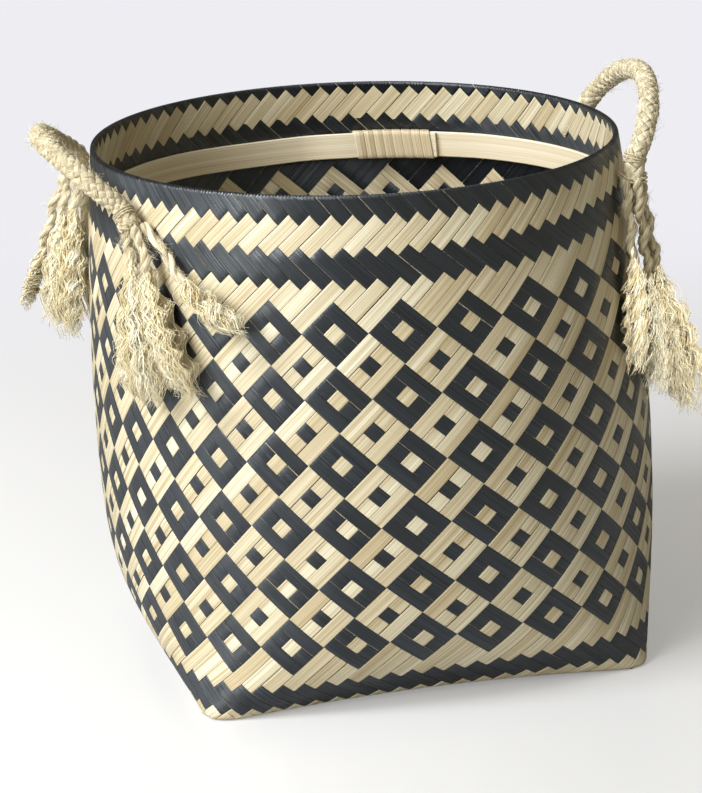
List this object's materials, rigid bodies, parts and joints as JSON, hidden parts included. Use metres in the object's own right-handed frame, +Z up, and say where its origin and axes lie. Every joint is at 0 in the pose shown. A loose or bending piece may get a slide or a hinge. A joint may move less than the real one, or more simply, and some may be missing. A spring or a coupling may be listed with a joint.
{
  "type": "bamboo basket",
  "caption": "Plaited bamboo basket with a square base, a round lined rim, an inner bamboo hoop and rope loop handles that swing, their ends frayed into tassels.",
  "frame": {"origin": "centre of the whole object's bounding box in plan, on the plane of the four feet that it stands on", "axes": "+Z up, +X towards the right-hand handle, -Y towards the front face; the square base's sides run along X and Y"},
  "size_m": [0.4588, 0.4084, 0.4102],
  "materials": {
    "plaited_bamboo": "satin split bamboo in cream and charcoal",
    "dark_bamboo": "satin charcoal split bamboo",
    "hoop_bamboo": "smooth natural bamboo strip",
    "split_cane": "thin flat split cane",
    "jute_rope": "coarse braided jute",
    "twine": "thin jute twine"
  },
  "bodies": {
    "basket": {"woven_base": "plaited_bamboo", "woven_wall": "plaited_bamboo", "rim_lining": "dark_bamboo", "inner_hoop": "hoop_bamboo", "hoop_binding": "split_cane", "rope_end_left_front": "jute_rope", "whipping_left_front": "twine", "lashing_left_front": "twine", "tassel_left_front_1": "jute_rope", "tassel_left_front_2": "jute_rope", "tassel_left_front_3": "jute_rope", "tassel_left_front_4": "jute_rope", "rope_end_left_back": "jute_rope", "whipping_left_back": "twine", "lashing_left_back": "twine", "tassel_left_back_1": "jute_rope", "tassel_left_back_2": "jute_rope", "tassel_left_back_3": "jute_rope", "tassel_left_back_4": "jute_rope", "rope_end_right_front": "jute_rope", "whipping_right_front": "twine", "lashing_right_front": "twine", "tassel_right_front_1": "jute_rope", "tassel_right_front_2": "jute_rope", "tassel_right_front_3": "jute_rope", "tassel_right_front_4": "jute_rope", "rope_end_right_back": "jute_rope", "whipping_right_back": "twine", "lashing_right_back": "twine", "tassel_right_back_1": "jute_rope", "tassel_right_back_2": "jute_rope", "tassel_right_back_3": "jute_rope", "tassel_right_back_4": "jute_rope"},
    "handle_left": {"rope_handle_left": "jute_rope"},
    "handle_right": {"rope_handle_right": "jute_rope"}
  },
  "joints": [
    {"name": "handle_left_hinge", "type": "hinge", "parent": "basket", "child": "handle_left", "pos_m": [-0.17975, -0.0094, 0.358], "axis": [0.058, -0.9977, -0.0354], "range_deg": [-54, 36]},
    {"name": "handle_right_hinge", "type": "hinge", "parent": "basket", "child": "handle_right", "pos_m": [0.1928, -0.0098, 0.35625], "axis": [0.0609, 0.9976, 0.0334], "range_deg": [-37, 55]}
  ]
}
